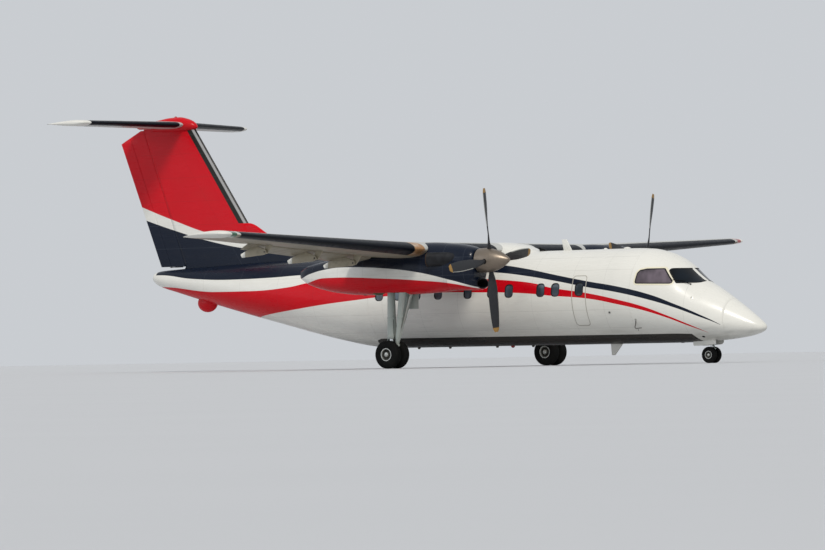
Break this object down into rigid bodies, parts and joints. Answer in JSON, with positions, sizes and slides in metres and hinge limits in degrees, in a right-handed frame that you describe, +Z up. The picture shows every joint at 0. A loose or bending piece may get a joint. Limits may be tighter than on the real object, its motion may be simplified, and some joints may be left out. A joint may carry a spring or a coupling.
{
  "type": "turboprop airliner",
  "caption": "High-wing regional airliner with wing-mounted turboprops, T tail, two-part rudder, airstair door and tall gear in the nacelles.",
  "frame": {"origin": "on the ground, midway along the overall length and on the centreline", "axes": "+X towards the nose, +Y towards the left wing tip, +Z up"},
  "size_m": [22.25, 25.91, 7.49],
  "materials": {
    "white_paint": "gloss",
    "red_paint": "gloss",
    "navy_paint": "gloss",
    "grey_paint": "satin",
    "window_glass": "gloss",
    "gear_metal": "satin",
    "dark_steel": "satin",
    "blade_composite": "matte",
    "tyre_rubber": "matte",
    "cabin_trim": "matte"
  },
  "bodies": {
    "airframe": {"nose_cone": "white_paint", "fuselage_nose": "white_paint", "fuselage_forward": "white_paint", "fuselage_centre": "white_paint", "fuselage_rear": "white_paint", "cockpit_interior": "cabin_trim", "windscreen_left": "window_glass", "windscreen_right": "window_glass", "side_window_left": "window_glass", "side_window_right": "window_glass", "baggage_door": "white_paint", "wing_middle": "grey_paint", "wing_left": "grey_paint", "wing_right": "grey_paint", "wing_root_fairing": "white_paint", "engine_cowl_left": "navy_paint", "engine_cowl_right": "navy_paint", "gear_nacelle_left": "red_paint", "gear_nacelle_right": "red_paint", "engine_left": "dark_steel", "engine_right": "dark_steel", "exhaust_left": "dark_steel", "exhaust_right": "dark_steel", "fin": "red_paint", "tailplane": "grey_paint", "main_leg_left": "gear_metal", "main_leg_right": "gear_metal", "drag_brace_left": "gear_metal", "drag_brace_right": "gear_metal", "main_gear_door_left": "white_paint", "main_gear_door_right": "white_paint", "nose_leg": "gear_metal", "nose_gear_door_left": "white_paint", "nose_gear_door_right": "white_paint"},
    "airstair": {"passenger_door": "white_paint"},
    "propeller_left": {"propeller_left": "blade_composite", "spinner_left": "dark_steel"},
    "propeller_right": {"propeller_right": "blade_composite", "spinner_right": "dark_steel"},
    "flap_inner_left": {"flap_inner_left": "grey_paint"},
    "flap_inner_right": {"flap_inner_right": "grey_paint"},
    "flap_outer_left": {"flap_outer_left": "grey_paint"},
    "flap_outer_right": {"flap_outer_right": "grey_paint"},
    "aileron_left": {"aileron_left": "grey_paint"},
    "aileron_right": {"aileron_right": "grey_paint"},
    "elevator_left": {"elevator_left": "grey_paint"},
    "elevator_right": {"elevator_right": "grey_paint"},
    "fore_rudder": {"fore_rudder": "red_paint"},
    "trailing_rudder": {"trailing_rudder": "red_paint"},
    "main_wheels_left": {"main_left_rims": "gear_metal", "main_left_tyre_left": "tyre_rubber", "main_left_tyre_right": "tyre_rubber"},
    "main_wheels_right": {"main_right_rims": "gear_metal", "main_right_tyre_left": "tyre_rubber", "main_right_tyre_right": "tyre_rubber"},
    "nose_steering": {"nose_fork": "gear_metal"},
    "nose_wheels": {"nose_rims": "gear_metal", "nose_tyre_left": "tyre_rubber", "nose_tyre_right": "tyre_rubber"}
  },
  "joints": [
    {"name": "passenger_door_hinge", "type": "hinge", "parent": "airframe", "child": "airstair", "pos_m": [6.185, 1.05394, 1.086], "axis": [-1, 0, 0], "range_deg": [0, 120]},
    {"name": "propeller_left_spin", "type": "hinge", "parent": "airframe", "child": "propeller_left", "pos_m": [4.745, 3.935, 2.92], "axis": [1, 0, 0], "continuous": true},
    {"name": "propeller_right_spin", "type": "hinge", "parent": "airframe", "child": "propeller_right", "pos_m": [4.745, -3.935, 2.92], "axis": [1, 0, 0], "continuous": true},
    {"name": "flap_inner_left_hinge", "type": "hinge", "parent": "airframe", "child": "flap_inner_left", "pos_m": [1.31954, 1.18, 2.84001], "axis": [0, -1, 0], "range_deg": [-15, 20]},
    {"name": "flap_inner_right_hinge", "type": "hinge", "parent": "airframe", "child": "flap_inner_right", "pos_m": [1.31954, -1.18, 2.84001], "axis": [0, -1, 0], "range_deg": [-15, 20]},
    {"name": "flap_outer_left_hinge", "type": "hinge", "parent": "airframe", "child": "flap_outer_left", "pos_m": [1.32126, 4.54, 2.84399], "axis": [-0.0298, -0.9974, -0.0663], "range_deg": [-15, 20]},
    {"name": "flap_outer_right_hinge", "type": "hinge", "parent": "airframe", "child": "flap_outer_right", "pos_m": [1.32126, -4.54, 2.84399], "axis": [0.0298, -0.9974, 0.0663], "range_deg": [-15, 20]},
    {"name": "aileron_left_hinge", "type": "hinge", "parent": "airframe", "child": "aileron_left", "pos_m": [1.3389, 10.28, 3.48193], "axis": [0.0455, 0.9978, 0.0475], "range_deg": [-20, 20]},
    {"name": "aileron_right_hinge", "type": "hinge", "parent": "airframe", "child": "aileron_right", "pos_m": [1.3389, -10.28, 3.48193], "axis": [-0.0455, 0.9978, -0.0475], "range_deg": [-20, 20]},
    {"name": "elevator_left_hinge", "type": "hinge", "parent": "airframe", "child": "elevator_left", "pos_m": [-9.77059, 0.29, 7.255], "axis": [-0.1218, 0.9926, 0], "range_deg": [-20, 25]},
    {"name": "elevator_right_hinge", "type": "hinge", "parent": "airframe", "child": "elevator_right", "pos_m": [-9.77059, -0.29, 7.255], "axis": [0.1218, 0.9926, 0], "range_deg": [-20, 25]},
    {"name": "fore_rudder_hinge", "type": "hinge", "parent": "airframe", "child": "fore_rudder", "pos_m": [-8.775, 0, 3.05], "axis": [-0.3429, 0, 0.9394], "range_deg": [-18.5, 18.5]},
    {"name": "trailing_rudder_hinge", "type": "hinge", "parent": "fore_rudder", "child": "trailing_rudder", "pos_m": [-9.315, 0, 3.05], "axis": [-0.3536, 0, 0.9354], "range_deg": [-18.5, 18.5]},
    {"name": "main_wheels_left_spin", "type": "hinge", "parent": "airframe", "child": "main_wheels_left", "pos_m": [1.405, 3.935, 0.38949], "axis": [0, 1, 0], "continuous": true},
    {"name": "main_wheels_right_spin", "type": "hinge", "parent": "airframe", "child": "main_wheels_right", "pos_m": [1.405, -3.935, 0.38949], "axis": [0, 1, 0], "continuous": true},
    {"name": "nose_steering_turn", "type": "hinge", "parent": "airframe", "child": "nose_steering", "pos_m": [9.355, 0, 0.4], "axis": [0, 0, 1], "range_deg": [-60, 60]},
    {"name": "nose_wheels_spin", "type": "hinge", "parent": "nose_steering", "child": "nose_wheels", "pos_m": [9.355, 0, 0.22617], "axis": [0, 1, 0], "continuous": true}
  ],
  "couplings": [
    {"joint": "flap_inner_right_hinge", "follows": "flap_inner_left_hinge", "ratio": 1},
    {"joint": "flap_outer_left_hinge", "follows": "flap_inner_left_hinge", "ratio": 1},
    {"joint": "flap_outer_right_hinge", "follows": "flap_inner_left_hinge", "ratio": 1},
    {"joint": "aileron_right_hinge", "follows": "aileron_left_hinge", "ratio": -1},
    {"joint": "elevator_right_hinge", "follows": "elevator_left_hinge", "ratio": 1},
    {"joint": "trailing_rudder_hinge", "follows": "fore_rudder_hinge", "ratio": 1}
  ]
}
